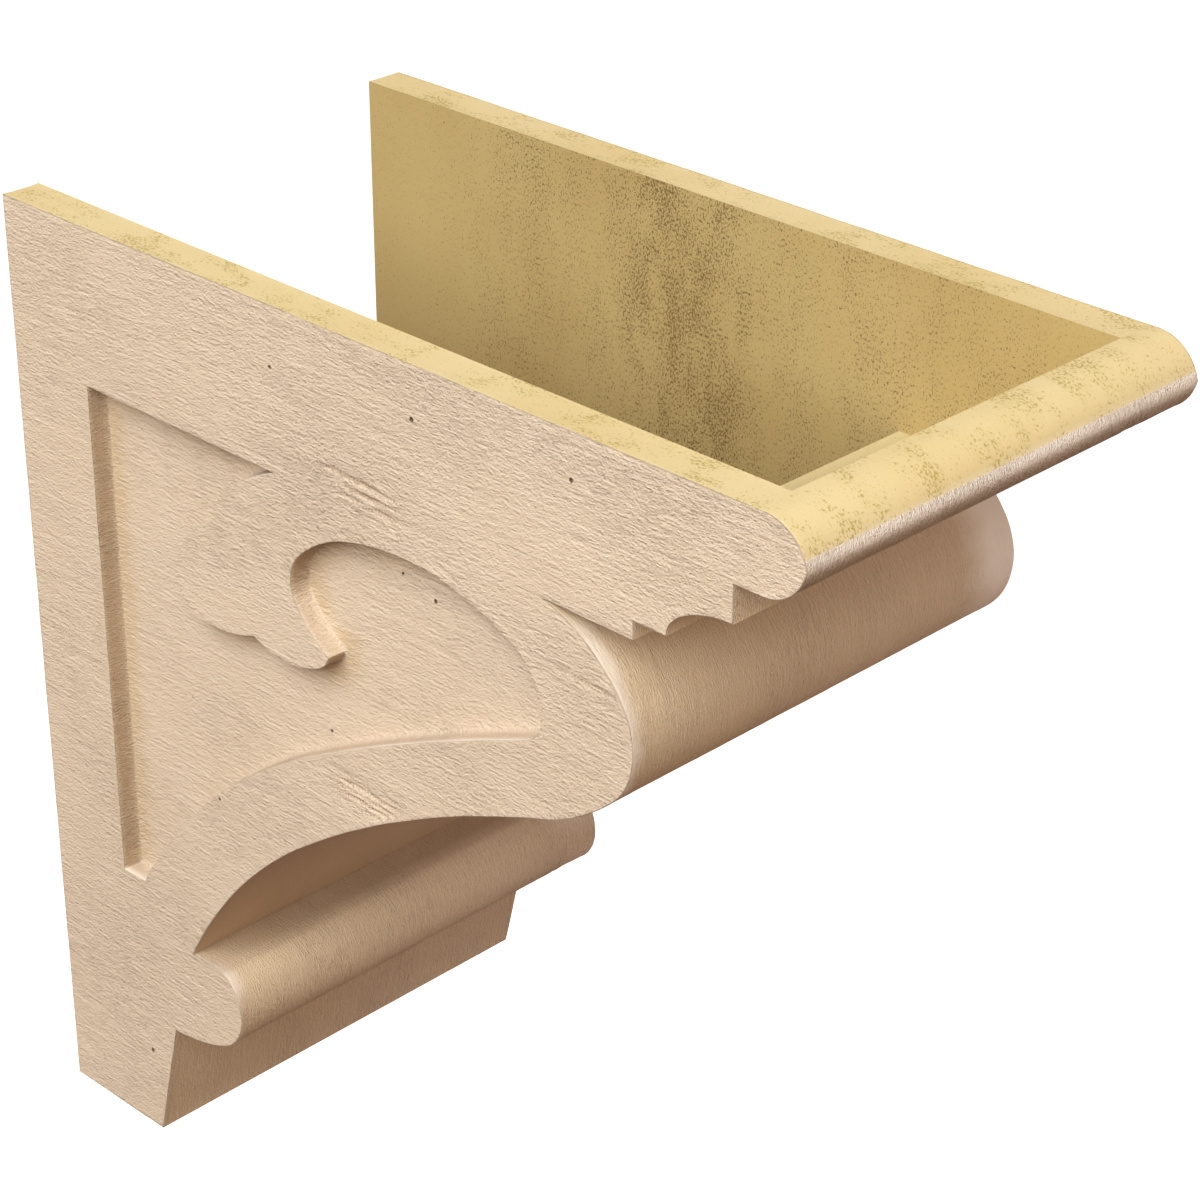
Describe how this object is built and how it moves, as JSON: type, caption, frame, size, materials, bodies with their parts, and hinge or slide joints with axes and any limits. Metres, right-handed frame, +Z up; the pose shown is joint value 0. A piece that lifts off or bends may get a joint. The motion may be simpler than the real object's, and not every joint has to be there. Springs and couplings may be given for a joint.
{
  "type": "faux wood corbel",
  "caption": "Hollow moulded scroll corbel with a rough-sawn wood look, sunk leaf-scroll panels on its cheeks, a roll above the foot block and a round-edged top moulding, open at top and back.",
  "frame": {"origin": "centre of the width, at mid-height of the floor board's rear edge, on the plane where the corbel meets the wall", "axes": "+Z up, +Y into the wall, so the corbel reaches out to -Y; +X is to the right when facing the wall"},
  "size_m": [0.1524, 0.3048, 0.3047],
  "materials": {
    "primed_foam": "matt tan primer over a rough-sawn grain on the outside, bare pale yellow foam on the top rim and inside"
  },
  "bodies": {
    "root": {"corbel": "primed_foam"}
  },
  "joints": []
}
